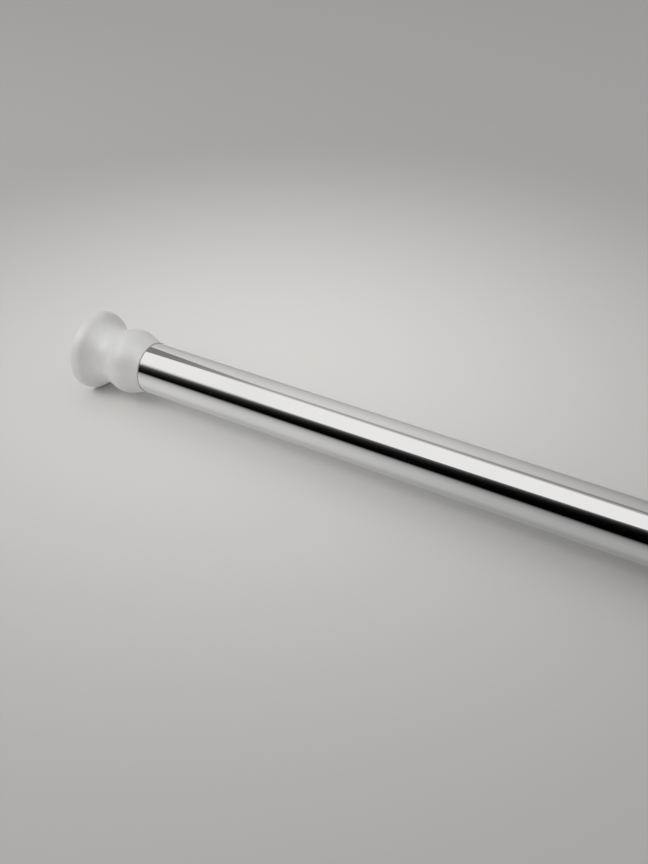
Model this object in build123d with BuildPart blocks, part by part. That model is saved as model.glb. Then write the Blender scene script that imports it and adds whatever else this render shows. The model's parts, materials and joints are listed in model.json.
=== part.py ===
from build123d import *

import os

os.makedirs("parts", exist_ok=True)

# Telescopic shower curtain rod. Two chromed tubes slide one in the other and brace between
# two walls on soft feet. A twist of the inner tube draws a cone into a slotted sleeve, which
# grips the outer tube, and a spring behind the lock then presses both feet against the walls.
#
# The rod lies along X. The outer tube's foot has its wall face at x = 0, centred on the
# origin, and the inner tube's foot faces the other wall. The model is the rod at its shortest,
# unlocked, with its spring as long as the tail nut lets it be. All sizes are in millimetres.

# Rod and tubes
closed_length = 700.0
outer_tube_radius = 12.5
tube_wall = 0.6
least_overlap = 61.0

# Fits, each the gap left between two faces
press_gap = 0.03
running_gap = 0.1
slide_gap = 0.3
end_gap = 2.0

# Soft foot, measured along the rod from its wall face. Its rim is bevelled where the real one
# is rounded, which keeps the model light.
foot_length = 37.5
foot_rim_radius = 19.8
foot_rim_width = 4.2
foot_rim_bevel = 0.7
foot_waist_at = 16.0
foot_waist_swell = 1.6
foot_bulge_at = 25.0
foot_bulge_swell = 3.6
foot_lip_wall = 0.5
foot_floor = 4.0
grip_groove_radii = (10.5, 15.0)
grip_groove_width = 1.6
grip_groove_depth = 0.6

# Hard plug that closes each tube inside its foot
plug_flange = 1.5
plug_skirt = 12.0
plug_wall = 1.6
plug_floor = 3.0
plug_slot = 2.0
plug_lead = 0.5

# Guide collar in the outer tube's mouth
collar_wall = 0.57
collar_flange = 3.0
collar_overhang = 0.9
collar_skirt = 14.0
collar_bevel = 0.5
collar_edge = 0.3

# Lock spindle
end_room = 6.5
spindle_radius = 4.0
spindle_flat = 3.0
stub_radius = 2.5
stub_tip = 1.0
shoulder_radius = 6.5
shoulder_width = 2.5
runout = 2.0
neck_depth = 0.4
neck_width = 1.2

# Wedge nut and the cone it is drawn into
wedge_length = 14.0
wedge_travel = 4.5
cone_slope = 0.16
cone_length = 16.0
finger_wall = 1.9
finger_count = 4
finger_slot = 2.6
key_gap = 0.25
key_inset = 0.6
mouth_reach = 3.7

# Slotted expander sleeve
sleeve_length = 32.0
sleeve_floor = 6.0
sleeve_ease = 0.1
slot_floor_gap = 3.0
grip_cut_start = 3.0
grip_cut_pitch = 4.5
grip_cut_count = 4
grip_cut_width = 1.0
grip_cut_depth = 0.3
ring_width = 2.4
ring_proud = 0.2
ring_depth = 1.6
ring_edge = 0.3

# Washers, push-on clip and nuts
thin_washer = 1.0
thrust_washer_radius = 8.0
thrust_washer_width = 1.5
stop_washer_radius = 6.0
clip_radius = 6.2
clip_width = 0.8
clip_slot_count = 6
clip_slot_width = 1.0
clip_slot_depth = 1.2
nut_half_flats = 4.0
nut_height = 4.0
nut_chamfer = 0.7

# Compression spring at its fitted length, and the washers that seat it
spring_length = 50.0
spring_travel = 20.0
spring_radius = 8.0
spring_wire_radius = 0.9
spring_turns = 7
spring_wire_sides = 6
spring_seat_rim = 1.3
spring_seat_width = 1.2
spring_boss = 2.0

# Guide bush in the inner tube's hidden end
bush_flange = 4.0
bush_spigot = 22.0
bush_edge = 0.5
bush_pocket_radius = 1.7
bush_pocket_count = 4
bush_pocket_depth = 18.0
bead_at = 9.0
bead_half_width = 1.6
bead_depth = 0.5

# Radii that follow from the tubes
outer_bore = outer_tube_radius - tube_wall
collar_radius = outer_bore - press_gap
collar_bore = collar_radius - collar_wall
inner_tube_radius = collar_bore - slide_gap
inner_bore = inner_tube_radius - tube_wall
bush_radius = inner_bore - press_gap
sleeve_radius = outer_bore - slide_gap - sleeve_ease
cone_mouth = sleeve_radius - finger_wall
cone_throat = cone_mouth - cone_slope * cone_length
ring_radius = sleeve_radius + ring_proud
journal_bore = spindle_radius + running_gap
slot_length = sleeve_length - sleeve_floor - slot_floor_gap
spring_seat_radius = spring_radius + spring_wire_radius + spring_seat_rim

# Stations along the rod, from the outer tube's wall
outer_tube_start = foot_floor + plug_flange
inner_tube_end = closed_length - outer_tube_start
collar_face = closed_length - foot_length - spring_travel - end_gap
outer_tube_end = collar_face - collar_flange

spindle_start = outer_tube_start + plug_skirt + end_room
stop_nut_start = spindle_start + stub_tip
stop_washer_start = stop_nut_start + nut_height
thread_start = stop_washer_start + thin_washer
wedge_start = thread_start + slide_gap
wedge_end = wedge_start + wedge_length
thread_end = wedge_end + wedge_travel + runout
sleeve_start = wedge_start + mouth_reach
sleeve_end = sleeve_start + sleeve_length
sleeve_floor_face = sleeve_end - sleeve_floor
ring_at = sleeve_end - sleeve_floor / 2
clip_start = sleeve_floor_face - running_gap - clip_width
thrust_washer_start = sleeve_end + running_gap
shoulder_start = thrust_washer_start + thrust_washer_width
shank_start = shoulder_start + shoulder_width
spring_start = shank_start + spring_seat_width
spring_end = spring_start + spring_length
bush_start = spring_end + spring_seat_width
inner_tube_start = bush_start + bush_flange
bush_end = inner_tube_start + bush_spigot
shank_end = bush_end + running_gap
tail_nut_start = shank_end + thin_washer
spindle_end = tail_nut_start + nut_height + stub_tip

# The telescope may open until the tubes overlap too little to stay straight
extension = outer_tube_end - inner_tube_start - least_overlap
print(f"inner tube radius {inner_tube_radius:.3f}, extension {extension:.2f}")

# Each end has a plane whose x runs from its wall face into the rod
outer_end = Plane.XY
inner_end = Plane(origin=(closed_length, 0, 0), x_dir=(-1, 0, 0), z_dir=(0, 0, -1))


def across(station):
    """Plane square to the rod at a station, facing the inner tube's foot."""
    return Plane.YZ.offset(station)


def fan(count):
    """Planes through the rod's axis, evenly turned about it, each with its x along the rod."""
    return [Plane.XY.rotated((360 / count * turn, 0, 0)) for turn in range(count)]


def foot(end, tube_radius):
    """Soft moulded foot: a broad rim on the wall, a waist, a bulge and a thin lip on the tube."""
    socket = tube_radius + press_gap
    shoulder = (foot_rim_width, foot_rim_radius)
    waist = (foot_waist_at, tube_radius + foot_waist_swell)
    bulge = (foot_bulge_at, tube_radius + foot_bulge_swell)
    lip = (foot_length, socket + foot_lip_wall)
    level = (1, 0)
    with BuildPart() as body:
        with BuildSketch(end):
            with BuildLine():
                Polyline((foot_floor, 0), (0, 0), (0, foot_rim_radius), shoulder)
                Spline(shoulder, waist, tangents=((1, -1), level))
                Spline(waist, bulge, tangents=(level, level))
                Spline(bulge, lip, tangents=(level, level))
                Polyline(lip, (foot_length, socket), (foot_floor, socket), (foot_floor, 0))
            make_face()
        revolve(axis=Axis.X)
        rims = body.edges().filter_by(GeomType.CIRCLE).sort_by(SortBy.RADIUS)[-2:]
        chamfer(rims, foot_rim_bevel)
        with BuildSketch(end):
            for radius in grip_groove_radii:
                with Locations((0, radius)):
                    Rectangle(2 * grip_groove_depth, grip_groove_width)
        revolve(axis=Axis.X, mode=Mode.SUBTRACT)
    return body


def end_plug(end, tube_radius):
    """Hard cup: its flange takes the tube's end and its slotted skirt grips the tube inside."""
    skirt = tube_radius - tube_wall - press_gap
    skirt_end = outer_tube_start + plug_skirt
    cup_floor = foot_floor + plug_floor
    with BuildPart() as plug:
        with BuildSketch(end):
            with BuildLine():
                Polyline(
                    (foot_floor, 0),
                    (foot_floor, tube_radius),
                    (outer_tube_start, tube_radius),
                    (outer_tube_start, skirt),
                    (skirt_end - plug_lead, skirt),
                    (skirt_end, skirt - plug_lead),
                    (skirt_end, skirt - plug_wall),
                    (cup_floor, skirt - plug_wall),
                    (cup_floor, 0),
                    close=True,
                )
            make_face()
        revolve(axis=Axis.X)
        with BuildSketch(Plane(origin=end.from_local_coords((cup_floor, 0, 0)), z_dir=end.x_dir)):
            Rectangle(2 * tube_radius, plug_slot)
            Rectangle(plug_slot, 2 * tube_radius)
        extrude(amount=plug_skirt, mode=Mode.SUBTRACT)
    return plug


def tube(start, end, radius, beads=()):
    """Thin-walled tube, rolled in at each bead to hold what sits inside it."""
    bore = radius - tube_wall
    with BuildPart() as shell:
        with BuildSketch(across(start)):
            Circle(radius)
            Circle(bore, mode=Mode.SUBTRACT)
        extrude(amount=end - start)
        for bead in beads:
            low = bead - bead_half_width
            high = bead + bead_half_width
            with BuildSketch(Plane.XY):
                with BuildLine():
                    ThreePointArc((low, radius), (bead, radius - bead_depth), (high, radius))
                    Line((high, radius), (low, radius))
                make_face()
            revolve(axis=Axis.X, mode=Mode.SUBTRACT)
            with BuildSketch(Plane.XY):
                with BuildLine():
                    ThreePointArc((low, bore), (bead, bore - bead_depth), (high, bore))
                    Line((high, bore), (low, bore))
                make_face()
            revolve(axis=Axis.X)
    return shell


def washer(start, width, radius, bore):
    """Flat washer on the spindle."""
    with BuildPart() as disc:
        with BuildSketch(across(start)):
            Circle(radius)
            Circle(bore, mode=Mode.SUBTRACT)
        extrude(amount=width)
    return disc


def hex_nut(start):
    """Hexagonal nut on one of the spindle's stubs, its corners turned off at both faces."""
    end = start + nut_height
    corner = nut_half_flats * 2 / 3**0.5
    with BuildPart() as nut:
        with BuildSketch(across(start)):
            RegularPolygon(nut_half_flats, 6, major_radius=False)
            Circle(stub_radius + press_gap, mode=Mode.SUBTRACT)
        extrude(amount=nut_height)
        with BuildSketch(Plane.XY):
            with BuildLine():
                Polyline(
                    (start, 0),
                    (start, nut_half_flats),
                    (start + nut_chamfer / 2, corner),
                    (end - nut_chamfer / 2, corner),
                    (end, nut_half_flats),
                    (end, 0),
                    close=True,
                )
            make_face()
        revolve(axis=Axis.X, mode=Mode.INTERSECT)
    return nut


def spring_seat(face, facing):
    """Washer with a boss that centres the spring; facing is 1 or -1, towards the spring."""
    boss_radius = spring_radius - spring_wire_radius - slide_gap
    bore = spindle_radius + slide_gap
    with BuildPart() as seat:
        with BuildSketch(across(face)):
            Circle(spring_seat_radius)
            Circle(bore, mode=Mode.SUBTRACT)
        extrude(amount=-facing * spring_seat_width)
        with BuildSketch(across(face)):
            Circle(boss_radius)
            Circle(bore, mode=Mode.SUBTRACT)
        extrude(amount=facing * spring_boss)
    return seat


# Outer tube, with its foot, end plug and guide collar
outer_tube = tube(outer_tube_start, outer_tube_end, outer_tube_radius)
outer_foot = foot(outer_end, outer_tube_radius)
outer_end_plug = end_plug(outer_end, outer_tube_radius)

with BuildPart() as guide_collar:
    with BuildSketch(Plane.XY):
        with BuildLine():
            Polyline(
                (outer_tube_end - collar_skirt, collar_bore),
                (outer_tube_end - collar_skirt, collar_radius),
                (outer_tube_end, collar_radius),
                (outer_tube_end, outer_tube_radius + collar_overhang),
                (collar_face, outer_tube_radius + collar_overhang),
                (collar_face, collar_bore),
                close=True,
            )
        make_face()
    revolve(axis=Axis.X)
    rims = guide_collar.edges().filter_by(GeomType.CIRCLE).sort_by(SortBy.RADIUS)[-2:].sort_by(Axis.X)
    chamfer(rims[0], collar_edge)
    chamfer(rims[1], collar_bevel)

# Inner tube, with its foot, end plug and the bush that the spindle slides through
inner_tube = tube(inner_tube_start, inner_tube_end, inner_tube_radius, [inner_tube_start + bead_at])
inner_foot = foot(inner_end, inner_tube_radius)
inner_end_plug = end_plug(inner_end, inner_tube_radius)

with BuildPart() as guide_bush:
    bead_centre = inner_tube_start + bead_at
    groove_half_width = bead_half_width + running_gap
    groove_radius = bush_radius - bead_depth - running_gap
    with BuildSketch(Plane.XY):
        with BuildLine():
            Polyline(
                (bush_start, 0),
                (bush_start, outer_bore - slide_gap),
                (inner_tube_start, outer_bore - slide_gap),
                (inner_tube_start, bush_radius),
                (bead_centre - groove_half_width, bush_radius),
                (bead_centre - groove_half_width, groove_radius),
                (bead_centre + groove_half_width, groove_radius),
                (bead_centre + groove_half_width, bush_radius),
                (bush_end - bush_edge, bush_radius),
                (bush_end, bush_radius - bush_edge),
                (bush_end, 0),
                close=True,
            )
        make_face()
    revolve(axis=Axis.X)
    chamfer(guide_bush.edges().filter_by(GeomType.CIRCLE).sort_by(SortBy.RADIUS)[-2:], bush_edge)
    # The keyed bore lets the spindle slide but carries the twist of the inner tube
    with BuildSketch(across(bush_start)):
        Circle(journal_bore)
        Rectangle(2 * journal_bore, 2 * (spindle_flat + running_gap), mode=Mode.INTERSECT)
    extrude(amount=bush_end - bush_start, mode=Mode.SUBTRACT)
    # Cored pockets keep the moulding's walls even
    with BuildSketch(across(bush_end)):
        with PolarLocations((journal_bore + groove_radius) / 2, bush_pocket_count):
            Circle(bush_pocket_radius)
    extrude(amount=-bush_pocket_depth, mode=Mode.SUBTRACT)

# Expander sleeve: a cup with a conical mouth, slotted into fingers that spread when wedged
with BuildPart() as expander_sleeve:
    cone_end = sleeve_start + cone_length
    with BuildSketch(Plane.XY):
        with BuildLine():
            Polyline(
                (sleeve_start, cone_mouth),
                (sleeve_start, sleeve_radius),
                (sleeve_end, sleeve_radius),
                (sleeve_end, journal_bore),
                (sleeve_floor_face, journal_bore),
                (sleeve_floor_face, cone_throat),
                (cone_end, cone_throat),
                close=True,
            )
        make_face()
        # Shallow turned grooves bite the tube once the fingers spread
        for cut in range(grip_cut_count):
            with Locations((sleeve_start + grip_cut_start + cut * grip_cut_pitch, sleeve_radius)):
                Rectangle(grip_cut_width, 2 * grip_cut_depth, mode=Mode.SUBTRACT)
        # Seat of the friction ring
        with Locations((ring_at, sleeve_radius)):
            seat_depth = ring_depth - ring_proud + press_gap
            Rectangle(ring_width + 2 * running_gap, 2 * seat_depth, mode=Mode.SUBTRACT)
    revolve(axis=Axis.X)
    for side in fan(finger_count):
        with BuildSketch(side):
            with Locations((sleeve_start, 0)):
                SlotCenterToCenter(2 * (slot_length - finger_slot / 2), finger_slot)
        extrude(amount=2 * sleeve_radius, mode=Mode.SUBTRACT)

# Friction ring, which keeps the sleeve from turning with the spindle
with BuildPart() as friction_ring:
    with BuildSketch(Plane.XY):
        with Locations((ring_at, ring_radius - ring_depth / 2)):
            Rectangle(ring_width, ring_depth)
    revolve(axis=Axis.X)
    chamfer(friction_ring.edges().filter_by(GeomType.CIRCLE).sort_by(SortBy.RADIUS)[-2:], ring_edge)

# Wedge nut: a cone on the spindle's thread, kept from turning by keys in the sleeve's slots
with BuildPart() as wedge_nut:
    seated_gap = slide_gap
    front = cone_mouth - seated_gap + cone_slope * (mouth_reach - wedge_travel)
    back = front - cone_slope * wedge_length
    with BuildSketch(Plane.XY):
        with BuildLine():
            Polyline((wedge_start, 0), (wedge_start, front), (wedge_end, back), (wedge_end, 0), close=True)
        make_face()
    revolve(axis=Axis.X)
    for side in fan(finger_count):
        with BuildSketch(side):
            with Locations((wedge_start, 0)):
                Rectangle(
                    wedge_length,
                    finger_slot - 2 * key_gap,
                    align=(Align.MIN, Align.CENTER),
                )
        extrude(amount=sleeve_radius - key_inset)
    with BuildSketch(across(wedge_start)):
        Circle(journal_bore)
    extrude(amount=wedge_length, mode=Mode.SUBTRACT)
    fronts = wedge_nut.faces().sort_by(Axis.X)[0].outer_wire().edges()
    chamfer(fronts, length=key_inset)

# Lock spindle: a stub, a screw, a journal and shoulder, a keyed shank and a tail stub
with BuildPart() as lock_spindle:
    with BuildSketch(across(spindle_start)):
        Circle(stub_radius)
    extrude(amount=spindle_end - spindle_start)
    with BuildSketch(across(thread_start)):
        Circle(spindle_radius)
    extrude(amount=shank_start - thread_start)
    with BuildSketch(across(shank_start)):
        Circle(spindle_radius)
        Rectangle(2 * spindle_radius, 2 * spindle_flat, mode=Mode.INTERSECT)
    extrude(amount=shank_end - shank_start)
    with BuildSketch(across(shoulder_start)):
        Circle(shoulder_radius)
    extrude(amount=shoulder_width)
    # Relief where the thread ends
    with BuildSketch(Plane.XY):
        with Locations((thread_end, spindle_radius)):
            Rectangle(neck_width, 2 * neck_depth)
    revolve(axis=Axis.X, mode=Mode.SUBTRACT)

# Push-on clip that keeps the spindle in the sleeve's floor, its teeth biting the journal
with BuildPart() as spindle_clip:
    with BuildSketch(across(clip_start)):
        Circle(clip_radius)
        Circle(spindle_radius + press_gap, mode=Mode.SUBTRACT)
        with PolarLocations(spindle_radius, clip_slot_count):
            Rectangle(2 * clip_slot_depth, clip_slot_width, mode=Mode.SUBTRACT)
    extrude(amount=clip_width)

thrust_washer = washer(thrust_washer_start, thrust_washer_width, thrust_washer_radius, journal_bore)
wedge_stop_washer = washer(stop_washer_start, thin_washer, stop_washer_radius, stub_radius + press_gap)
wedge_stop_nut = hex_nut(stop_nut_start)
tail_washer = washer(shank_end, thin_washer, stop_washer_radius, stub_radius + press_gap)
tail_nut = hex_nut(tail_nut_start)

# Spring seats and the compression spring, its end turns ground flat. Its wire is round on the
# real spring, and a six-sided section keeps this hidden coil light.
front_spring_seat = spring_seat(spring_start, 1)
rear_spring_seat = spring_seat(spring_end, -1)

with BuildPart() as compression_spring:
    with BuildLine() as coil:
        Helix(
            pitch=spring_length / spring_turns,
            height=spring_length,
            radius=spring_radius,
            center=(spring_start, 0, 0),
            direction=(1, 0, 0),
        )
    with BuildSketch(Plane(origin=coil.line @ 0, z_dir=coil.line % 0)):
        RegularPolygon(spring_wire_radius, spring_wire_sides)
    sweep(path=coil.line, is_frenet=True)
    split(bisect_by=across(spring_start), keep=Keep.TOP)
    split(bisect_by=across(spring_end), keep=Keep.BOTTOM)

# Each piece is written on its own
outer_tube.part.label = "outer_tube"
export_step(outer_tube.part, "parts/outer_tube.step")
outer_foot.part.label = "outer_foot"
export_step(outer_foot.part, "parts/outer_foot.step")
outer_end_plug.part.label = "outer_end_plug"
export_step(outer_end_plug.part, "parts/outer_end_plug.step")
guide_collar.part.label = "guide_collar"
export_step(guide_collar.part, "parts/guide_collar.step")
inner_tube.part.label = "inner_tube"
export_step(inner_tube.part, "parts/inner_tube.step")
inner_foot.part.label = "inner_foot"
export_step(inner_foot.part, "parts/inner_foot.step")
inner_end_plug.part.label = "inner_end_plug"
export_step(inner_end_plug.part, "parts/inner_end_plug.step")
guide_bush.part.label = "guide_bush"
export_step(guide_bush.part, "parts/guide_bush.step")
expander_sleeve.part.label = "expander_sleeve"
export_step(expander_sleeve.part, "parts/expander_sleeve.step")
friction_ring.part.label = "friction_ring"
export_step(friction_ring.part, "parts/friction_ring.step")
wedge_nut.part.label = "wedge_nut"
export_step(wedge_nut.part, "parts/wedge_nut.step")
lock_spindle.part.label = "lock_spindle"
export_step(lock_spindle.part, "parts/lock_spindle.step")
spindle_clip.part.label = "spindle_clip"
export_step(spindle_clip.part, "parts/spindle_clip.step")
thrust_washer.part.label = "thrust_washer"
export_step(thrust_washer.part, "parts/thrust_washer.step")
wedge_stop_washer.part.label = "wedge_stop_washer"
export_step(wedge_stop_washer.part, "parts/wedge_stop_washer.step")
wedge_stop_nut.part.label = "wedge_stop_nut"
export_step(wedge_stop_nut.part, "parts/wedge_stop_nut.step")
tail_washer.part.label = "tail_washer"
export_step(tail_washer.part, "parts/tail_washer.step")
tail_nut.part.label = "tail_nut"
export_step(tail_nut.part, "parts/tail_nut.step")
front_spring_seat.part.label = "front_spring_seat"
export_step(front_spring_seat.part, "parts/front_spring_seat.step")
rear_spring_seat.part.label = "rear_spring_seat"
export_step(rear_spring_seat.part, "parts/rear_spring_seat.step")
compression_spring.part.label = "compression_spring"
export_step(compression_spring.part, "parts/compression_spring.step")
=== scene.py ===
# %% [markdown]
# # A telescopic shower curtain rod
# The rod is two chromed steel tubes that slide one in the other and brace between two walls on
# soft white feet. A slotted sleeve, a cone on a screw and a spring are hidden inside.
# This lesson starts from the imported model, which fixes every size and place, and works on looks
# only. The tubes, feet, spindle and spring are remade as smooth surfaces worked out from a few
# lengths, because a mirror finish shows every facet. All other pieces keep their own meshes.
# Every piece then gets a finish built from nodes.

# %% Load the frame
import json
from math import pi, radians

import bpy
import numpy as np
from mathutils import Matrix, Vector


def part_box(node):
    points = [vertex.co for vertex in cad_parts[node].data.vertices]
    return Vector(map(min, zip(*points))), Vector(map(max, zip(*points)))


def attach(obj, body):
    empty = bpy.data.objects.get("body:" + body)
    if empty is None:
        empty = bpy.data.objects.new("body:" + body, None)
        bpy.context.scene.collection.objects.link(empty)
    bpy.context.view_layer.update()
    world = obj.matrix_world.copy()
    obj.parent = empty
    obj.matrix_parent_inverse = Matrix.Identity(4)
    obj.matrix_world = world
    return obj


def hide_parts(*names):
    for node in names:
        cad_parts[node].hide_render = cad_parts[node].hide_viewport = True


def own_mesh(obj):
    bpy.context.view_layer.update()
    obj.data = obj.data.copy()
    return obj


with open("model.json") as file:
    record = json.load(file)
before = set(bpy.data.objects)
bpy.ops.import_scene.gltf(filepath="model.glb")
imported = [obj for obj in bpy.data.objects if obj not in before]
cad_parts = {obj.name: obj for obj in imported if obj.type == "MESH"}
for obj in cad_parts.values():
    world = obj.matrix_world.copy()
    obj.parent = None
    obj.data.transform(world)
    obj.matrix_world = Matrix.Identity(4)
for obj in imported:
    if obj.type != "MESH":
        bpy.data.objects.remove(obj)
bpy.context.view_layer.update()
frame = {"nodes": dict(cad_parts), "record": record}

# %% [markdown]
# ## Lengths that the surfaces share
# The rod lies along X. Where a piece begins and ends is read from the frame, so the surfaces
# follow the model. Only the finer shape that the frame can't tell, such as where the foot's
# waist lies, is written here, in metres.

# %% Lengths read from the frame
MM = 0.001


def span(node):
    """First and last station of a node along the rod, and its largest radius."""
    low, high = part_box(node)
    return low.x, high.x, high.y


outer_start, outer_end, outer_radius = span("outer_tube")
inner_start, inner_end, inner_radius = span("inner_tube")
near_wall, near_lip, rim_radius = span("outer_foot")
_, far_wall, _ = span("inner_foot")
spring_start, spring_end, spring_outer = span("compression_spring")
spindle_start, spindle_end, shoulder_radius = span("lock_spindle")
foot_length = near_lip - near_wall
print(f"outer tube {outer_radius / MM:.1f} mm, inner tube {inner_radius / MM:.1f} mm radius")
print(f"foot {foot_length / MM:.1f} mm long, rim {rim_radius / MM:.1f} mm radius")

# %% [markdown]
# ## From an array of points to a mesh
# A surface is a grid of points: rows run along one parameter and columns along the other.
# The faces need no loop, because the four corners of each face are the same grid shifted by one
# row or one column. A profile that ends on the rod's axis closes in a single point, so there
# the grid is closed by a fan of triangles.

# %% Grid to mesh
def grid_mesh(name, points, close_rows=False, start_pole=None, end_pole=None):
    """Mesh over points[row, column, xyz]. Columns always close on themselves, rows if asked.

    Corner indices are row * columns + column, for the grid and its shifts by one step.
    A pole is one more point, joined to the first or the last row by triangles.
    """
    rows, columns, _ = points.shape
    index = np.arange(rows * columns).reshape(rows, columns)
    next_column = np.roll(index, -1, axis=1)
    top = index if close_rows else index[:-1]
    side = next_column if close_rows else next_column[:-1]
    below = np.roll(index, -1, axis=0) if close_rows else index[1:]
    below_side = np.roll(next_column, -1, axis=0) if close_rows else next_column[1:]
    quads = np.stack([top, side, below_side, below], axis=-1).reshape(-1, 4).tolist()
    vertices = points.reshape(-1, 3).tolist()
    fans = []
    if start_pole is not None:
        pole = np.full(columns, len(vertices))
        fans += np.stack([pole, next_column[0], index[0]], axis=-1).tolist()
        vertices.append(list(start_pole))
    if end_pole is not None:
        pole = np.full(columns, len(vertices))
        fans += np.stack([pole, index[-1], next_column[-1]], axis=-1).tolist()
        vertices.append(list(end_pole))
    mesh = bpy.data.meshes.new(name)
    mesh.from_pydata(vertices, [], quads + fans)
    mesh.validate()
    mesh.shade_smooth()
    piece = bpy.data.objects.new(name, mesh)
    bpy.context.scene.collection.objects.link(piece)
    print(f"{name}: {len(vertices)} points, {len(quads) + len(fans)} faces")
    return piece


def turned(name, x, r, columns=192, close_rows=False, start_pole=None, end_pole=None):
    """Surface of revolution about the rod: point = (x, r cos t, r sin t), t once round.

    r may be one radius for each station, or a radius for each station and angle.
    """
    angle = np.arange(columns) * 2 * pi / columns
    radius = r if r.ndim == 2 else np.repeat(r[:, None], columns, axis=1)
    along = np.repeat(x[:, None], columns, axis=1)
    points = np.stack([along, radius * np.cos(angle), radius * np.sin(angle)], axis=-1)
    return grid_mesh(name, points, close_rows, start_pole, end_pole)


# %% [markdown]
# ## Profiles with round corners
# Nothing that is rolled or moulded has a knife edge, and a rounded edge is what catches a line
# of light. So a profile is given by its corners, and each corner is replaced by a short arc.
# The arc here is a quadratic curve from one side of the corner to the other.

# %% Rounded profiles
def rounded(corners, radius, steps):
    """Closed profile: each corner is cut back by radius and bridged by a curve of so many points.

    With P the corner and A and B the two cut points, the curve is
    (1 - t)^2 A + 2 t (1 - t) P + t^2 B, for t from 0 to 1. Gives x and r, one row for each corner.
    """
    corners = np.asarray(corners, float)
    before = np.roll(corners, 1, axis=0) - corners
    after = np.roll(corners, -1, axis=0) - corners
    cut_a = corners + radius * before / np.linalg.norm(before, axis=1)[:, None]
    cut_b = corners + radius * after / np.linalg.norm(after, axis=1)[:, None]
    t = np.linspace(0, 1, steps)[None, :, None]
    curve = (1 - t) ** 2 * cut_a[:, None] + 2 * t * (1 - t) * corners[:, None]
    curve += t**2 * cut_b[:, None]
    return curve[..., 0], curve[..., 1]


# %% [markdown]
# ## The chromed tubes
# Each tube is thin steel, rolled, welded and polished before it is plated, so its wall has two
# skins and a slightly rounded rim at each end. The profile is the wall's own section, carried
# once round the rod. The inner tube is rolled in near its hidden end, to hold the bush.
# 256 columns keep a mirror's reflections smooth without making the mesh heavy.

# %% Tubes
tube_wall = 0.6 * MM
tube_rim, rim_steps = 0.2 * MM, 7
bead_at = inner_start + 9 * MM
bead_half = 1.6 * MM
bead_depth = 0.5 * MM
skin_stations, bead_stations = 90, 48


def tube(name, start, end, radius, dent):
    """Wall section carried round the rod; dent(x) is how far the wall is pushed in at x.

    The section runs along the outside and back along the bore, with a rounded corner at each
    turn. The stations between the corners stand closer together at the bead.
    """
    bore = radius - tube_wall
    corners = [(start, radius), (end, radius), (end, bore), (start, bore)]
    x, r = rounded(corners, tube_rim, rim_steps)
    skins = np.linspace(start + 2 * tube_rim, end - 2 * tube_rim, skin_stations)
    near_bead = np.linspace(bead_at - 3 * bead_half, bead_at + 3 * bead_half, bead_stations)
    near_bead = near_bead[(near_bead > start) & (near_bead < end)]
    fill = np.unique(np.concatenate([skins, near_bead]))
    outside, inside = np.full(fill.size, radius), np.full(fill.size, bore)
    section_x = np.concatenate([x[0], fill, x[1], x[2], fill[::-1], x[3]])
    section_r = np.concatenate([r[0], outside, r[1], r[2], inside, r[3]])
    return turned(name, section_x, section_r - dent(section_x), columns=256, close_rows=True)


def rolled_bead(x):
    """Dip as wide as one cosine wave, bead_depth deep at bead_at and level past bead_half."""
    reach = np.clip(np.abs(x - bead_at) / bead_half, 0, 1)
    return bead_depth * (1 + np.cos(pi * reach)) / 2


outer_tube = tube("outer_tube_skin", outer_start, outer_end, outer_radius, lambda x: 0 * x)
inner_tube = tube("inner_tube_skin", inner_start, inner_end, inner_radius, rolled_bead)

# %% [markdown]
# ## The soft feet
# Each foot is one moulding of soft white plastic, pushed over the end of its tube. Its outline
# has a broad rim for the wall, a flare down to a waist, a bulge where fingers hold it, and a
# taper to a thin lip. Each stretch is a cubic curve that leaves one station and reaches the next
# with a chosen slope, so the outline stays smooth where stretches meet.

# %% Foot outline
# Stations are measured from the wall face. A swell is how far the outside stands off the tube,
# and a drop is how far it lies under the rim
rim_round, rim_end = 1.1 * MM, 2.0 * MM
flare_at, flare_drop, flare_slope = 5.9 * MM, 1.5 * MM, -1
waist_at, waist_swell = 16.0 * MM, 1.6 * MM
bulge_at, bulge_swell = 25.0 * MM, 3.6 * MM
lip_wall, lip_round, lip_slope = 0.36 * MM, 0.16 * MM, -0.02
floor_at = 4.0 * MM
socket_gap = 0.03 * MM
face_centre = 4.0 * MM
grooves = (10.5 * MM, 15.0 * MM)
groove_half, groove_depth, groove_edge = 0.8 * MM, 0.6 * MM, 0.15 * MM


def stretch(start, end, slope_start, slope_end, steps=26):
    """Cubic from start to end: r = h00 r0 + h10 w s0 + h01 r1 + h11 w s1, the Hermite blend.

    w is the stretch's width and s0 and s1 are the slopes dr/dx at its two ends.
    """
    t = np.linspace(0, 1, steps)
    width = end[0] - start[0]
    r = (2 * t**3 - 3 * t**2 + 1) * start[1] + (t**3 - 2 * t**2 + t) * width * slope_start
    r += (3 * t**2 - 2 * t**3) * end[1] + (t**3 - t**2) * width * slope_end
    return start[0] + t * width, r


def arc(centre, radius, first, last, steps=10):
    """Arc about centre, from the first angle to the last, in degrees from the rod's direction."""
    turn = np.radians(np.linspace(first, last, steps))
    return centre[0] + radius * np.cos(turn), centre[1] + radius * np.sin(turn)


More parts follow.
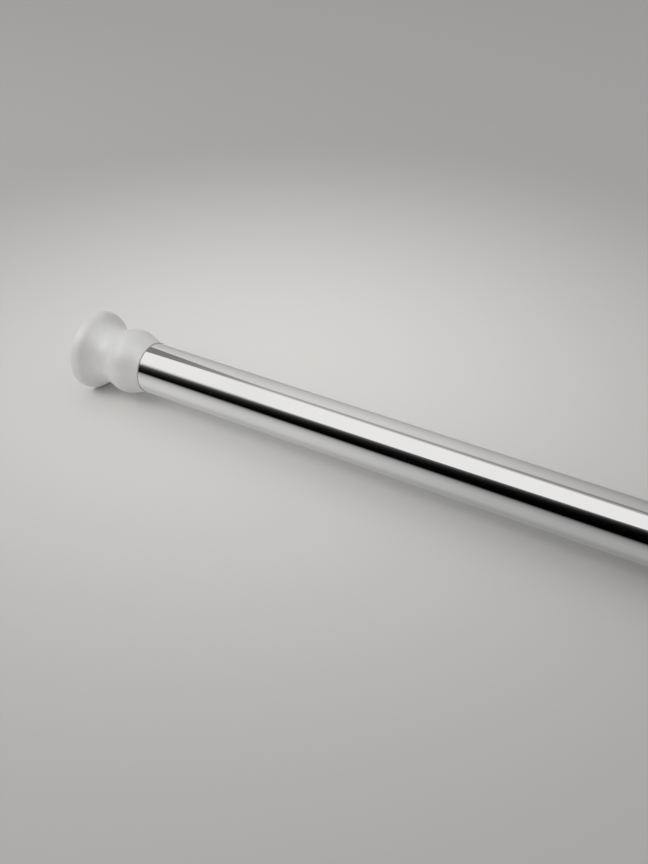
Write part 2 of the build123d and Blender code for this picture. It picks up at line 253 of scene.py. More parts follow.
def foot_profile(tube_radius):
    """Outline from the wall face's centre, over the outside, to the socket floor's centre."""
    socket = tube_radius + socket_gap
    flare = (flare_at, rim_radius - flare_drop)
    waist = (waist_at, tube_radius + waist_swell)
    bulge = (bulge_at, tube_radius + bulge_swell)
    lip_at = foot_length - lip_round
    face = [(np.zeros(1), np.full(1, face_centre))]
    for groove in grooves:
        sides = np.array([-groove_half - groove_edge, -groove_half, -groove_half + groove_edge])
        r = np.concatenate([groove + sides, groove - sides[::-1]])
        x = np.array([0, groove_edge, groove_depth, groove_depth, groove_edge, 0])
        face.append((x, r))
    outside = [
        arc((rim_round, rim_radius - rim_round), rim_round, 180, 90),
        stretch((rim_end, rim_radius), flare, 0, flare_slope, steps=14),
        stretch(flare, waist, flare_slope, 0),
        stretch(waist, bulge, 0, 0),
        stretch(bulge, (lip_at, socket + lip_wall), 0, lip_slope),
        arc((lip_at, socket + lip_round), lip_round, 90, -90, steps=7),
    ]
    socket_wall = np.linspace(foot_length - 2 * lip_round, floor_at, 12)
    inside = [
        (socket_wall, np.full(socket_wall.size, socket)),
        (np.full(1, floor_at), np.full(1, socket / 2)),
    ]
    x, r = (np.concatenate(values) for values in zip(*(face + outside + inside)))
    shortest_step = 0.001 * MM
    keep = np.r_[True, np.hypot(np.diff(x), np.diff(r)) > shortest_step]
    return x[keep], r[keep]


# %% Feet
def foot(name, wall, direction, tube_radius):
    """The outline carried round the rod; direction is 1 or -1, from the wall into the rod."""
    x, r = foot_profile(tube_radius)
    ends = [(wall, 0, 0), (wall + direction * floor_at, 0, 0)]
    if direction < 0:
        x, r, ends = x[::-1], r[::-1], ends[::-1]
    return turned(name, wall + direction * x, r, start_pole=ends[0], end_pole=ends[1])


outer_foot = foot("outer_foot_skin", near_wall, 1, outer_radius)
inner_foot = foot("inner_foot_skin", far_wall, -1, inner_radius)

# %% [markdown]
# ## The lock spindle
# The spindle is one turned bar: a threaded stub, a coarse screw for the wedge nut, a plain
# journal, a shoulder, a shank with two flats and another threaded stub. All of it is a single
# radius that depends on the station and the angle. A thread is a wave whose phase is
# x / pitch - angle / full turn, which makes it climb to the right, and a flat is the distance
# to a straight line, flat / |sin angle|, wherever that is less than the round bar.

# %% Spindle
bar_radius, stub_radius, flat_half = 4.0 * MM, 2.5 * MM, 3.0 * MM
thread_start, thread_end = 30.0 * MM, 50.8 * MM
shoulder_start, shoulder_end = 67.6 * MM, 70.1 * MM
shank_end = spindle_end - 6.0 * MM
screw_lead, screw_depth = 3.0 * MM, 0.75 * MM
stub_pitch, stub_depth = 0.8 * MM, 0.45 * MM
tip_bevel = 0.5 * MM
bar_columns = 96


def thread(x, angle, start, end, pitch, depth):
    """Depth cut into a bar: depth times a wave that fades over one pitch at both ends.

    The wave is 2.6 |2 phase - 1| - 0.8, kept between 0 and 1, which is a triangle made flat at
    crest and root. The phase is x / pitch - angle / full turn, without its whole turns.
    """
    phase = np.mod(x / pitch - angle / (2 * pi), 1)
    wave = np.clip(2.6 * np.abs(2 * phase - 1) - 0.8, 0, 1)
    fade = np.clip((x - start) / pitch, 0, 1) * np.clip((end - x) / pitch, 0, 1)
    return depth * wave * fade


def stations(*runs):
    """Stations along a bar: each run is (start, end, step), and both of its ends are stations."""
    return np.concatenate([
        np.linspace(start, end, max(2, int(round((end - start) / step)) + 1))
        for start, end, step in runs
    ])


x = stations(
    (spindle_start, thread_start, 0.1 * MM),
    (thread_start, thread_end, 0.15 * MM),
    (thread_end, shoulder_start, 2 * MM),
    (shoulder_start, shoulder_end, 0.4 * MM),
    (shoulder_end, shank_end, 6 * MM),
    (shank_end, spindle_end, 0.1 * MM),
)
# Where two runs meet the station stands twice. The radius of each is taken a hair to its own
# side, so that a step in radius is square
hair = 0.0001 * MM
twice = np.diff(x) == 0
along = (x + hair * (np.r_[False, twice].astype(float) - np.r_[twice, False]))[:, None]
angle = (np.arange(bar_columns) * 2 * pi / bar_columns)[None, :]
on_stub = (along < thread_start) | (along > shank_end)
on_shoulder = (along > shoulder_start) & (along < shoulder_end)
on_shank = (along > shoulder_end) & (along < shank_end)
sine = np.maximum(np.abs(np.sin(angle)), 1e-3)  # never 0, because the flat is divided by it
r = np.where(on_shank, np.minimum(bar_radius, flat_half / sine), bar_radius)
r = r - thread(along, angle, thread_start, thread_end, screw_lead, screw_depth)
stub = stub_radius - thread(along, angle, spindle_start - MM, thread_start, stub_pitch, stub_depth)
stub -= thread(along, angle, shank_end, spindle_end + MM, stub_pitch, stub_depth)
r = np.where(on_stub, stub, r)
r = np.where(on_shoulder, shoulder_radius, r)
from_tip = np.minimum(along - spindle_start, spindle_end - along)
r = r - np.clip(tip_bevel - from_tip, 0, None)
spindle = turned(
    "lock_spindle_turned", x, r, columns=bar_columns,
    start_pole=(spindle_start, 0, 0), end_pole=(spindle_end, 0, 0),
)

# %% [markdown]
# ## The spring
# A compression spring is round wire wound on a mandrel. Its last turn at each end lies against
# the next and is ground flat, so that it stands square on its seat. The wire's centre follows a
# helix whose climb slows down at both ends, and the ground face is made by pressing the points
# that stand past the end back to it.

# %% Spring
wire_radius = 0.9 * MM
coil_radius = spring_outer - wire_radius
coil_turns = 8


def coil(name, start, end, turns, rows_per_turn=48, columns=16):
    """Wire of circular section along a helix: centre + wire_radius (cos v N + sin v B).

    N points away from the rod and B is square to it and to the wire. The climb starts at one
    wire's width a turn, grows over the first turn to an even pitch and shrinks back over the
    last one. The whole climb is then scaled to the length.
    """
    u = np.linspace(0, turns, turns * rows_per_turn + 1)
    ease = np.clip(u, 0, 1) * np.clip(turns - u, 0, 1)
    open_pitch = 1.2 * (end - start) / turns
    speed = 2 * wire_radius + open_pitch * ease**2
    climb = np.r_[0, np.cumsum((speed[1:] + speed[:-1]) / 2)]
    climb = start + (end - start) * climb / climb[-1]
    t = 2 * pi * u
    outward = np.stack([0 * t, np.cos(t), np.sin(t)], axis=-1)
    centre = np.stack([climb, coil_radius * np.cos(t), coil_radius * np.sin(t)], axis=-1)
    forward = np.gradient(centre, axis=0)
    forward /= np.linalg.norm(forward, axis=1)[:, None]
    side = np.cross(forward, outward)
    v = np.arange(columns) * 2 * pi / columns
    ring = np.cos(v)[None, :, None] * outward[:, None] + np.sin(v)[None, :, None] * side[:, None]
    points = centre[:, None] + wire_radius * ring
    points[..., 0] = np.clip(points[..., 0], start, end)
    return grid_mesh(name, points, start_pole=points[0].mean(0), end_pole=points[-1].mean(0))


spring = coil("compression_spring_coil", spring_start, spring_end, coil_turns)

# %% [markdown]
# ## What each new piece stands for
# Every new piece rides on the body that its model node belongs to and hides that node. The spring
# also gets a mesh of its own.

# %% Attach the new pieces
new_pieces = (
    (outer_tube, "outer", "outer_tube", "chromed_tube"),
    (inner_tube, "inner", "inner_tube", "chromed_tube"),
    (outer_foot, "outer", "outer_foot", "soft_foot"),
    (inner_foot, "inner", "inner_foot", "soft_foot"),
    (spindle, "core", "lock_spindle", "zinc_steel"),
    (spring, "core", "compression_spring", "spring_steel"),
)
for piece, body, node, slot in new_pieces:
    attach(piece, body)
    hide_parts(node)

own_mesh(spring)

# %% [markdown]
# ## Node groups that the finishes share
# A finish is a clean surface plus what handling does to it. Four effects are wanted in more than
# one material, so each is a node group, built once and placed with its own values: dust and
# smudges, fine scratches, moulded grain and worn edges. A group gives masks and heights only, and
# each material decides what they do to its colour, roughness or bump. The patterns are read from
# Object coordinates, which are metres in the rod's own frame.

# %% Helpers for node trees
def group(name, inputs, outputs):
    """New node group with float inputs {name: value} and outputs; gives tree, inlet and outlet."""
    tree = bpy.data.node_groups.new(name, "ShaderNodeTree")
    for label, value in inputs.items():
        socket = tree.interface.new_socket(label, in_out="INPUT", socket_type="NodeSocketFloat")
        socket.default_value = value
    for label in outputs:
        tree.interface.new_socket(label, in_out="OUTPUT", socket_type="NodeSocketFloat")
    return tree, tree.nodes.new("NodeGroupInput"), tree.nodes.new("NodeGroupOutput")


def put(socket, value):
    """Link an output into a socket, or set the socket's own value."""
    if isinstance(value, bpy.types.NodeSocket):
        socket.id_data.links.new(value, socket)
    else:
        socket.default_value = value


def calc(tree, operation, *values, clamp=False):
    """A Math node over outputs or numbers."""
    node = tree.nodes.new("ShaderNodeMath")
    node.operation, node.use_clamp = operation, clamp
    for socket, value in zip(node.inputs, values):
        put(socket, value)
    return node.outputs[0]


def noise(tree, vector, scale, detail=3.0, roughness=0.55):
    """Noise texture; scale is features per metre."""
    node = tree.nodes.new("ShaderNodeTexNoise")
    put(node.inputs["Vector"], vector)
    put(node.inputs["Scale"], scale)
    put(node.inputs["Detail"], detail)
    put(node.inputs["Roughness"], roughness)
    return node.outputs["Fac"]


def between(tree, value, low, high, out_low=0.0, out_high=1.0):
    """Map Range that runs smoothly from out_low at low to out_high at high."""
    node = tree.nodes.new("ShaderNodeMapRange")
    node.interpolation_type = "SMOOTHSTEP"
    for socket, number in zip(node.inputs, (value, low, high, out_low, out_high)):
        put(socket, number)
    return node.outputs["Result"]


def object_point(tree, scale=(1, 1, 1)):
    """The point's place in the rod's frame, each axis multiplied by its scale."""
    where = tree.nodes.new("ShaderNodeTexCoord")
    mapping = tree.nodes.new("ShaderNodeMapping")
    mapping.inputs["Scale"].default_value = scale
    tree.links.new(where.outputs["Object"], mapping.inputs["Vector"])
    return mapping.outputs["Vector"]


# %% Dust and smudges
def make_dust_group():
    """Specks are cells of a fine Voronoi pattern closer than Speck to their point, in patches.

    Smudge is a slow noise, 0 on most of the surface and 1 in a few soft-edged patches.
    """
    inputs = {"Scale": 900.0, "Speck": 0.1, "Patch": 22.0}
    tree, inlet, outlet = group("dust_and_smudges", inputs, ("Dust", "Smudge"))
    point = object_point(tree)
    cells = tree.nodes.new("ShaderNodeTexVoronoi")
    put(cells.inputs["Vector"], point)
    put(cells.inputs["Scale"], inlet.outputs["Scale"])
    speck = calc(tree, "LESS_THAN", cells.outputs["Distance"], inlet.outputs["Speck"])
    patch = noise(tree, point, inlet.outputs["Patch"], 4.0)
    put(outlet.inputs["Dust"], calc(tree, "MULTIPLY", speck, between(tree, patch, 0.45, 0.65)))
    put(outlet.inputs["Smudge"], between(tree, patch, 0.5, 0.75))
    return tree


dust_group = make_dust_group()


# %% Fine scratches
def make_scratch_group():
    """Two noises stretched into lines, one along the rod and one round it, cut to thin streaks.

    A streak is where the noise is above the level 0.72 (1 - Amount / 2), and its edge is made
    12 times steeper. Line is 1 in a streak and takes the larger of the two directions.
    """
    inputs = {"Scale": 300.0, "Stretch": 0.03, "Amount": 0.35}
    tree, inlet, outlet = group("fine_scratches", inputs, ("Line",))
    where = tree.nodes.new("ShaderNodeTexCoord")
    half_amount = calc(tree, "MULTIPLY", inlet.outputs["Amount"], 0.5)
    level = calc(tree, "MULTIPLY", calc(tree, "SUBTRACT", 1.0, half_amount), 0.72)
    lines = []
    for axis in ("X", "Y"):
        squeeze = tree.nodes.new("ShaderNodeCombineXYZ")
        for name in ("X", "Y", "Z"):
            put(squeeze.inputs[name], inlet.outputs["Stretch"] if name == axis else 1.0)
        stretched = tree.nodes.new("ShaderNodeVectorMath")
        stretched.operation = "MULTIPLY"
        put(stretched.inputs[0], where.outputs["Object"])
        put(stretched.inputs[1], squeeze.outputs["Vector"])
        streak = noise(tree, stretched.outputs["Vector"], inlet.outputs["Scale"], 2.0, 0.5)
        above = calc(tree, "SUBTRACT", streak, level)
        lines.append(calc(tree, "MULTIPLY", above, 12.0, clamp=True))
    put(outlet.inputs["Line"], calc(tree, "MAXIMUM", *lines))
    return tree


scratch_group = make_scratch_group()


# %% Moulded grain
def make_grain_group():
    """Height is 0.6 of a fine noise and 0.4 of a slower one, as an etched mould leaves on plastic.

    Mottle is the slower noise alone, from 0 to 1, for small changes of colour and gloss.
    """
    inputs = {"Grain": 2600.0, "Flow": 90.0}
    tree, inlet, outlet = group("moulded_grain", inputs, ("Height", "Mottle"))
    point = object_point(tree)
    fine = noise(tree, point, inlet.outputs["Grain"], 2.0)
    slow = noise(tree, point, inlet.outputs["Flow"], 3.0)
    fine_part, slow_part = calc(tree, "MULTIPLY", fine, 0.6), calc(tree, "MULTIPLY", slow, 0.4)
    put(outlet.inputs["Height"], calc(tree, "ADD", fine_part, slow_part))
    put(outlet.inputs["Mottle"], between(tree, slow, 0.3, 0.7))
    return tree


grain_group = make_grain_group()


# %% Worn edges
def make_wear_group():
    """Wear is 1 where the rounded normal departs from the true one, broken up by a noise.

    The Bevel node looks a short Width round the point, so the mask lies on edges only.
    """
    tree, inlet, outlet = group("worn_edges", {"Width": 0.0004, "Breakup": 400.0}, ("Wear",))
    bevel = tree.nodes.new("ShaderNodeBevel")
    bevel.samples = 4
    put(bevel.inputs["Radius"], inlet.outputs["Width"])
    true = tree.nodes.new("ShaderNodeNewGeometry")
    dot = tree.nodes.new("ShaderNodeVectorMath")
    dot.operation = "DOT_PRODUCT"
    put(dot.inputs[0], bevel.outputs["Normal"])
    put(dot.inputs[1], true.outputs["Normal"])
    edge = between(tree, dot.outputs["Value"], 0.995, 0.9)
    patchy = between(tree, noise(tree, object_point(tree), inlet.outputs["Breakup"]), 0.35, 0.6)
    put(outlet.inputs["Wear"], calc(tree, "MULTIPLY", edge, patchy))
    return tree


wear_group = make_wear_group()
print("node groups", [g.name for g in bpy.data.node_groups])

# %% [markdown]
# ## Building a finish
# Each finish below starts from one Principled shader. A few small helpers place a group, mix two
# colours by a mask, let a mask raise or lower a value and turn a height into a bump, so that a
# material reads as a short recipe.

# %% Helpers for materials
def finish(name):
    """New material with one Principled shader wired to its output."""
    material = bpy.data.materials.new(name)
    material.use_nodes = True
    tree = material.node_tree
    tree.nodes.clear()
    shader = tree.nodes.new("ShaderNodeBsdfPrincipled")
    output = tree.nodes.new("ShaderNodeOutputMaterial")
    tree.links.new(shader.outputs["BSDF"], output.inputs["Surface"])
    return material, tree, shader


def place(tree, node_group, **values):
    """Place a node group with its own values and give its outputs."""
    node = tree.nodes.new("ShaderNodeGroup")
    node.node_tree = node_group
    for label, value in values.items():
        node.inputs[label].default_value = value
    return node.outputs


def mix(tree, mask, low, high):
    """Colour that is low where the mask is 0 and high where it is 1."""
    node = tree.nodes.new("ShaderNodeMix")
    node.data_type = "RGBA"
    put(node.inputs[0], mask)
    for socket, value in ((node.inputs[6], low), (node.inputs[7], high)):
        put(socket, value if isinstance(value, bpy.types.NodeSocket) else (*value, 1))
    return node.outputs[2]


def shifted(tree, base, mask, amount):
    """base + amount * mask, so a mask raises a value, or lowers it where amount is negative."""
    return calc(tree, "ADD", base, calc(tree, "MULTIPLY", mask, amount))


def bump(tree, shader, height, distance):
    """Bump of so many metres for a height of 1, feeding the shader's normal."""
    node = tree.nodes.new("ShaderNodeBump")
    node.inputs["Strength"].default_value = 1.0
    node.inputs["Distance"].default_value = distance
    put(node.inputs["Height"], height)
    put(shader.inputs["Normal"], node.outputs["Normal"])


def settings(shader, **values):
    """Constant values on the shader's own sockets."""
    for label, value in values.items():
        shader.inputs[label.replace("_", " ")].default_value = value


# %% [markdown]
# ## Chrome
# Chrome plating is a mirror with hardly a cast. Two things tell it from a perfect mirror: the
# steel under it was polished by a belt, so straight reflections waver very slightly along the
# tube, and it is touched, so there are faint smudges, hairlines and a little dust.

# %% Chrome
chrome, tree, shader = finish("chrome_plate")
dust = place(tree, dust_group, Scale=700.0, Speck=0.04, Patch=16.0)
scratch = place(tree, scratch_group, Scale=420.0, Stretch=0.02, Amount=0.3)
tint = mix(tree, dust["Smudge"], (0.81, 0.803, 0.795), (0.78, 0.773, 0.766))
put(shader.inputs["Base Color"], mix(tree, dust["Dust"], tint, (0.72, 0.71, 0.69)))
rough = shifted(tree, 0.035, dust["Smudge"], 0.035)
rough = shifted(tree, rough, scratch["Line"], 0.06)
put(shader.inputs["Roughness"], shifted(tree, rough, dust["Dust"], 0.12))
put(shader.inputs["Metallic"], shifted(tree, 1.0, dust["Dust"], -0.15))
waver = noise(tree, object_point(tree, (14, 60, 60)), 1.0, 2.0)
bump(tree, shader, waver, 0.03 * MM)

# %% [markdown]
# ## Soft white plastic
# The feet are soft plastic, close to rubber: satin, a little see-through at the thin lip, with
# the fine grain of the mould. Handling leaves the edges slightly shinier and soft patches
# slightly greyer.

# %% Soft foot
soft, tree, shader = finish("soft_white_plastic")
grain = place(tree, grain_group, Grain=3200.0, Flow=70.0)
dust = place(tree, dust_group, Scale=900.0, Speck=0.09, Patch=40.0)
wear = place(tree, wear_group, Width=0.0006, Breakup=300.0)
clean = mix(tree, grain["Mottle"], (0.69, 0.688, 0.68), (0.73, 0.728, 0.722))
handled = mix(tree, dust["Smudge"], clean, (0.66, 0.655, 0.645))
put(shader.inputs["Base Color"], mix(tree, dust["Dust"], handled, (0.55, 0.53, 0.5)))
rough = between(tree, grain["Mottle"], 0, 1, 0.32, 0.4)
put(shader.inputs["Roughness"], shifted(tree, rough, wear["Wear"], -0.1))
settings(
    shader, IOR=1.53, Specular_IOR_Level=1.0, Subsurface_Weight=0.25,
    Subsurface_Radius=(1.0, 0.95, 0.9), Subsurface_Scale=3 * MM,
)
bump(tree, shader, grain["Height"], 0.04 * MM)

# %% [markdown]
# ## Hard mouldings inside
# The collar and sleeve are white nylon and the bush and plugs are grey. Both are the same recipe
# with other colours: a harder, glossier moulding, with flow marks and whitened edges where it
# rubs on steel.

# %% Nylon
def nylon(name, low, high, worn):
    """Nylon: colour between low and high by the flow of the moulding, worn on its edges."""
    material, tree, shader = finish(name)
    grain = place(tree, grain_group, Grain=2400.0, Flow=140.0)
    dust = place(tree, dust_group, Scale=1100.0, Speck=0.08, Patch=60.0)
    wear = place(tree, wear_group, Width=0.0003, Breakup=500.0)
    body = mix(tree, grain["Mottle"], low, high)
    body = mix(tree, wear["Wear"], body, worn)
    put(shader.inputs["Base Color"], mix(tree, dust["Dust"], body, (0.4, 0.39, 0.37)))
    rough = between(tree, grain["Mottle"], 0, 1, 0.34, 0.44)
    put(shader.inputs["Roughness"], shifted(tree, rough, wear["Wear"], 0.15))
    settings(shader, IOR=1.53)
    bump(tree, shader, grain["Height"], 0.03 * MM)
    return material


white_nylon = nylon("white_nylon", (0.74, 0.74, 0.72), (0.79, 0.79, 0.775), (0.84, 0.84, 0.83))
grey_nylon = nylon("grey_nylon", (0.29, 0.30, 0.31), (0.34, 0.35, 0.36), (0.5, 0.51, 0.52))


# %% [markdown]
# ## Metal parts of the lock
# Turned steel and brass keep fine rings from the lathe, which stretch their highlights. Zinc
# plate has a patchy bluish bloom, the spring is oiled and dark, and brass is bright where the
# thread rubs it.

# %% Turned metals
def turned_metal(name, low, high, worn, rough_low, rough_high, rings):
    """Metal: colour by a bloom noise, lathe rings at so many per metre, bright worn edges.

    The rings are a noise stretched 60 times as long round the bar as along it.
    """
    material, tree, shader = finish(name)
    scratch = place(tree, scratch_group, Scale=600.0, Stretch=0.05, Amount=0.45)
    wear = place(tree, wear_group, Width=0.00025, Breakup=700.0)
    bloom = between(tree, noise(tree, object_point(tree), 160.0, 4.0), 0.35, 0.65)
    body = mix(tree, bloom, low, high)
    body = mix(tree, scratch["Line"], body, worn)
    put(shader.inputs["Base Color"], mix(tree, wear["Wear"], body, worn))
    rough = between(tree, bloom, 0, 1, rough_low, rough_high)
    put(shader.inputs["Roughness"], shifted(tree, rough, wear["Wear"], -0.08))
    settings(shader, Metallic=1.0)
    lathe = noise(tree, object_point(tree, (rings, rings / 60, rings / 60)), 1.0, 3.0)
    bump(tree, shader, lathe, 0.01 * MM)
    return material


zinc = turned_metal(
    "zinc_plated_steel", (0.55, 0.57, 0.61), (0.64, 0.65, 0.67), (0.74, 0.74, 0.74),
    rough_low=0.24, rough_high=0.36, rings=5000,
)
spring_steel = turned_metal(
    "oiled_spring_steel", (0.26, 0.26, 0.27), (0.36, 0.355, 0.35), (0.5, 0.5, 0.5),
    rough_low=0.26, rough_high=0.4, rings=2500,
)
brass = turned_metal(
    "turned_brass", (0.66, 0.47, 0.2), (0.76, 0.58, 0.28), (0.86, 0.7, 0.4),
    rough_low=0.2, rough_high=0.34, rings=5000,
)

# %% [markdown]
# ## Rubber
# The friction ring is black rubber, dull, with a fine texture and a grey bloom where it drags in
# the tube.

# %% Rubber
rubber, tree, shader = finish("black_rubber")
grain = place(tree, grain_group, Grain=5000.0, Flow=200.0)
wear = place(tree, wear_group, Width=0.0004, Breakup=900.0)
body = mix(tree, grain["Mottle"], (0.025, 0.025, 0.025), (0.05, 0.05, 0.05))
put(shader.inputs["Base Color"], mix(tree, wear["Wear"], body, (0.12, 0.12, 0.12)))
put(shader.inputs["Roughness"], between(tree, grain["Mottle"], 0, 1, 0.6, 0.75))
bump(tree, shader, grain["Height"], 0.05 * MM)

# %% [markdown]
# ## Who wears what
# Each new piece takes its finish directly. The model's own nodes take theirs by the material slot
# that the record names for them.

# %% Assign the finishes
FINISHES = {
    "chromed_tube": chrome, "soft_foot": soft, "white_nylon": white_nylon, "grey_nylon": grey_nylon,
    "zinc_steel": zinc, "spring_steel": spring_steel, "brass": brass, "black_rubber": rubber,
}
for piece, _, _, slot in new_pieces:
    piece.data.materials.append(FINISHES[slot])

for part in frame["record"]["subparts"]:
    node = frame["nodes"][part["node"]]
    for material_slot in node.material_slots:
        material_slot.material = FINISHES[part["material_slot"]]
print("finishes", sorted(FINISHES))

# %% [markdown]
# ## The floor
# The rod lies on its feet on pale paper. The light falls off away from the foot, which is painted
# here as a pool: lightest near the foot and a little over half as light beyond 37 cm.

# %% Floor
floor_level = -rim_radius
floor_half = 6.0
pool_centre = (0.07, 0.075, floor_level)
pool_reach = 0.37


def quad_grid(name, points, faces):
    """Stage object over flat lists of points and faces."""
    mesh = bpy.data.meshes.new(name)
    mesh.from_pydata(points, [], faces)
    sheet = bpy.data.objects.new(name, mesh)
    bpy.context.scene.collection.objects.link(sheet)
    return sheet


corners = [(sx * floor_half, sy * floor_half) for sx, sy in ((-1, -1), (1, -1), (1, 1), (-1, 1))]
floor = quad_grid("floor", [(x, y, floor_level) for x, y in corners], [(0, 1, 2, 3)])
paper, tree, shader = finish("paper_floor")
spot = tree.nodes.new("ShaderNodeVectorMath")
spot.operation = "DISTANCE"
put(spot.inputs[0], object_point(tree))
put(spot.inputs[1], pool_centre)
pool = between(tree, spot.outputs["Value"], 0.0, pool_reach)
put(shader.inputs["Base Color"], mix(tree, pool, (0.81, 0.806, 0.797), (0.47, 0.467, 0.461)))
settings(shader, Roughness=1.0, Specular_IOR_Level=0.0)
bump(tree, shader, noise(tree, object_point(tree), 900.0, 3.0), 0.05 * MM)
floor.data.materials.append(paper)

# %% [markdown]
# ## The room that the chrome mirrors
# A mirror shows its room, so the studio is built for the tube. A ray that comes from the camera
# and leaves the tube at some leaning from straight up always meets the same line of the room, so
# each band on the tube is one glowing card. The cards are painted reflections: gloss alone sees
# them, so they show only in reflections and neither light nor shade anything:
#
# - a glowing card overhead, the painted reflection of a broad lamp's face, from 8 degrees behind
#   the rod to 50 degrees on the camera's side, makes the broad white band
# - a dark card on the camera's side, a painted dark reflection, makes the black band. It stands
#   lower at the foot's end, so the black band narrows there, and its upper part is a little lighter
# - a low card just over the floor, a painted reflection of the floor, gives the pale band below the
#   black one
# - a dim card, the painted reflection of a gap behind the lamp, which opens into a wedge past the
#   foot, makes the thin grey line
# - towards the rod's other end the painted lamp face reaches as far behind the rod as in front of
#   it, and a dark card stands on each side, so the tubes look like chrome from behind too. What the
#   camera sees of the tube mirrors none of that
#
# What lights the object is the pale world and one soft lamp near the foot, on the camera's left,
# which leaves the floor in front of the rod almost clear of shadow. The chrome doesn't mirror that
# lamp.

# %% Lamp
lamp_size, lamp_power = 0.8, 8.5
warm_white = (1.0, 0.995, 0.985)
lamp_data = bpy.data.lights.new("soft_lamp", "AREA")
lamp_data.shape = "SQUARE"
lamp_data.size = lamp_size
lamp_data.energy = lamp_power
lamp_data.color = warm_white
lamp = bpy.data.objects.new("soft_lamp", lamp_data)
lamp.location = (-0.75, -0.85, 1.1)
lamp.rotation_euler = lamp.location.to_track_quat("Z", "Y").to_euler()
lamp.visible_camera = lamp.visible_glossy = False
bpy.context.scene.collection.objects.link(lamp)
print(f"lamp {lamp_size} m wide, {lamp.location.length:.2f} m from the foot, {lamp_power} W")


# %% Cards
def card(name, x, y, z, shade):
    """Card over a grid of points whose glow is shade, from 0, black, to 1, white.

    x, y, z and shade are arrays of one shape, or are spread to it. Each face joins a point to its
    neighbours in the next row and column. Only gloss sees the card, so its glow is a painted
    reflection that lights and shades nothing.
    """
    x, y, z, shade = np.broadcast_arrays(x, y, z, shade)
    points = np.stack([x, y, z], axis=-1).reshape(-1, 3)
    index = np.arange(x.size).reshape(x.shape)
    faces = np.stack([index[:-1, :-1], index[:-1, 1:], index[1:, 1:], index[1:, :-1]], axis=-1)
    sheet = quad_grid(name, points.tolist(), faces.reshape(-1, 4).tolist())
    glow_layer = sheet.data.attributes.new("shade", "FLOAT", "POINT")
    glow_layer.data.foreach_set("value", shade.ravel().astype(np.float32))
    sheet.visible_camera = sheet.visible_diffuse = sheet.visible_shadow = False
    material = bpy.data.materials.new(name)
    material.use_nodes = True
    tree = material.node_tree
    tree.nodes.clear()
    layer = tree.nodes.new("ShaderNodeAttribute")
    layer.attribute_name = "shade"
    glow = tree.nodes.new("ShaderNodeEmission")
    output = tree.nodes.new("ShaderNodeOutputMaterial")
    tree.links.new(layer.outputs["Fac"], glow.inputs["Strength"])
    tree.links.new(glow.outputs["Emission"], output.inputs["Surface"])
    sheet.data.materials.append(material)


def smooth(value, low, high):
    """0 below low, 1 above high and t^2 (3 - 2t) between."""
    t = np.clip((value - low) / (high - low), 0, 1)
    return t * t * (3 - 2 * t)


def beside(height, leaning):
    """Y of a point at that height which lies leaning degrees from straight up, towards the camera.

    The camera stands on the -Y side, so y = -height tan(leaning).
    """
    return -height * np.tan(np.radians(leaning))


# Metres, but for the shade: how high the cards overhead hang, how far to the side the dark ones
# stand, and from where to where the cards run along the rod
painted_lamp_height, painted_lamp_glow = 1.5, 0.98
painted_gap_height, painted_wedge_height = 1.49, 1.485
card_away, card_start, card_end = 1.3, -1.95, 2.65
painted_floor_reflection_edge, painted_floor_reflection_height = 0.012, floor_level + 0.002

# Painted reflection of a broad lamp's face: cards that glow overhead, seen by gloss alone, and
# light nothing
for name, ends, leanings in (
    ("painted_lamp_reflection", (-1.8, 0.1), (50, -8)), ("far_painted_lamp_reflection", (0.1, 2.6), (50, -50)),
):
    edges = beside(painted_lamp_height, np.array(leanings)[:, None])
    card(name, np.array(ends)[None, :], edges, painted_lamp_height, painted_lamp_glow)

# The dark card is a painted dark reflection, seen by gloss alone, and casts no shade. Its top is
# 0.6 + 0.79 e^(x / 0.9) high, or 1.45 where that is less. Its glow is 0.27 e^(-6.2 d) +
# wide e^(-3.3 d), d metres below the top, and wide is larger at the foot's end
for name, first, side in (("painted_dark_reflection", card_start, -1), ("far_painted_dark_reflection", 0.6, 1)):
    x = np.linspace(first, card_end, 120)[None, :]
    top = np.minimum(0.6 + 0.79 * np.exp(x / 0.9), 1.45)
    down = (np.linspace(0, 1, 50) ** 1.5)[:, None] * (top - floor_level)
    wide = 0.004 + 0.05 * smooth(-x, 0.7, 1.1)
    shade = 0.27 * np.exp(-6.2 * down) + wide * np.exp(-3.3 * down)
    card(name, x, side * card_away, top - down, shade)

# The low card is a painted reflection of the floor, seen by gloss alone. It starts under the tube,
# where it is dimmer and its rows are closer. It is brightest from 22 to 35 mm in front of the
# tube's middle, falls off from there as e^(-distance / 0.14), and is dimmer beyond the foot's pool
# of light
x = np.linspace(card_start, 0.6, 60)[None, :]
y = (painted_floor_reflection_edge - (card_away + painted_floor_reflection_edge) * np.linspace(0, 1, 90) ** 2)[:, None]
near = 0.7 + 0.3 * smooth(-y, 0.008, 0.022)
falling = np.exp(np.minimum(y + 0.035, 0) / 0.14)
pool_end = 1 - 0.4 * smooth(x, 0.05, 0.32)
card("painted_floor_reflection", x, y, painted_floor_reflection_height, 0.69 * near * falling * pool_end)

# The gap card is a painted reflection of a dim gap in the room, seen by gloss alone. It glows about
# half as much as the room beyond along its middle, about 17 degrees behind the rod
x = np.linspace(-0.9, 0.4, 40)[None, :]
off_middle = np.linspace(-1, 1, 24)[:, None]
behind = 17 + 1.5 * smooth(x, -0.5, 0.1) + 9 * off_middle
room_beyond = 0.8 - 0.26 * smooth(x, -0.75, 0.1)
dip = 1 - (0.52 + 0.06 * smooth(x, -0.4, 0.0)) * np.cos(pi / 2 * off_middle) ** 2
card("painted_gap_reflection", x, beside(painted_gap_height, -behind), painted_gap_height, room_beyond * dip)
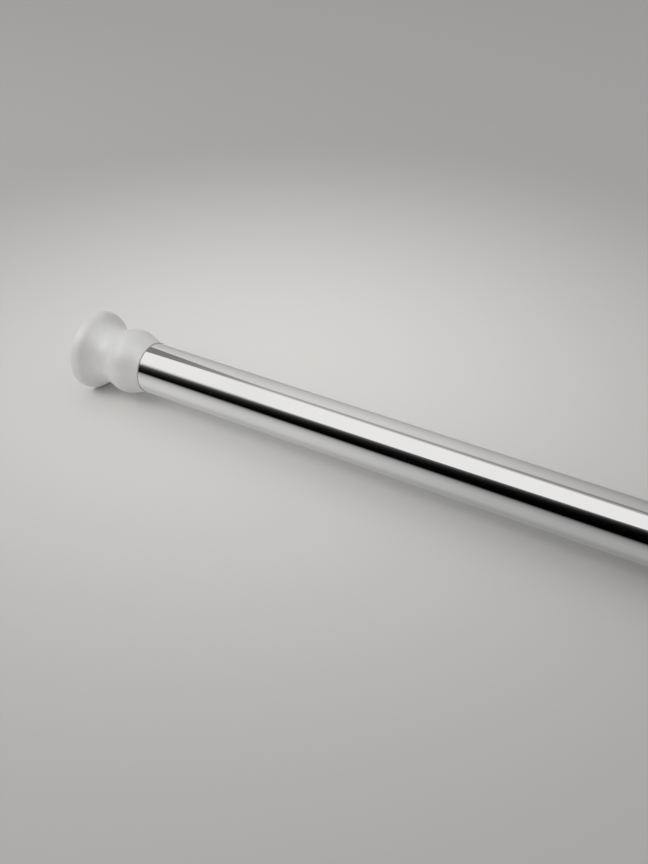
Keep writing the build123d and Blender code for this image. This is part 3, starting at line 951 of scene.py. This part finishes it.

# Past the foot the painted gap reflection opens into a wedge between a bent edge and a straight one
along = np.linspace(0, 1, 12)[:, None]
across = np.linspace(0, 1, 12)[None, :]
bent_x = np.interp(along, (0, 0.5, 1), (-0.78, -1.0, -1.2))
bent_y = np.interp(along, (0, 0.5, 1), (0.36, 0.23, -0.05))
straight_x, straight_y = -0.78 - 0.82 * along, 0.53 + 1.08 * along
x = bent_x + (straight_x - bent_x) * across
y = bent_y + (straight_y - bent_y) * across
card("painted_gap_reflection_wedge", x, y, painted_wedge_height, 0.36 - 0.135 * smooth(along, 0.0, 0.5))

# %% [markdown]
# ## The world
# Everything else is a pale room, a little darker near the horizon than overhead. Its strength
# follows the direction of the ray. What the chrome mirrors of it straight across the rod is
# dimmer, so that part is read through Light Path, and the light on the object stays even.

# %% World
world = bpy.data.worlds.new("pale_room")
bpy.context.scene.world = world
world.use_nodes = True
tree = world.node_tree
tree.nodes.clear()
direction = tree.nodes.new("ShaderNodeTexCoord")
heading = tree.nodes.new("ShaderNodeSeparateXYZ")
put(heading.inputs[0], direction.outputs["Generated"])
room = tree.nodes.new("ShaderNodeBackground")
put(room.inputs["Color"], (*warm_white, 1))
room_light = 0.8
by_height = between(tree, heading.outputs["Z"], 0.0, 0.9, 0.6, 0.85)
foot_end = between(tree, heading.outputs["X"], -0.46, -0.06, 0.9, 0.52)
other_end = between(tree, heading.outputs["X"], 0.05, 0.3, 0.0, 0.36)
for_gloss = calc(tree, "ADD", foot_end, other_end)
ray = tree.nodes.new("ShaderNodeLightPath")
change = calc(tree, "SUBTRACT", for_gloss, room_light)
light = shifted(tree, room_light, ray.outputs["Is Glossy Ray"], change)
put(room.inputs["Strength"], calc(tree, "MULTIPLY", by_height, light))
output = tree.nodes.new("ShaderNodeOutputWorld")
tree.links.new(room.outputs["Background"], output.inputs["Surface"])

# %% [markdown]
# ## The camera
# It stands where the photograph was taken from. The place and the tilt come from the tube's two
# edges and from the mouth of the foot, and the lens from how fast the tube grows towards us.

# %% Camera
camera_data = bpy.data.cameras.new("camera")
camera_data.lens = 45.83
camera_data.sensor_width = 36
camera = bpy.data.objects.new("camera", camera_data)
camera.location = (0.3585, -0.3595, 0.2738)
camera.rotation_euler = (radians(56.66), 0, radians(31.66))
camera_data.clip_start = 0.01
bpy.context.scene.collection.objects.link(camera)
bpy.context.scene.camera = camera
bpy.context.scene.view_settings.view_transform = "Standard"
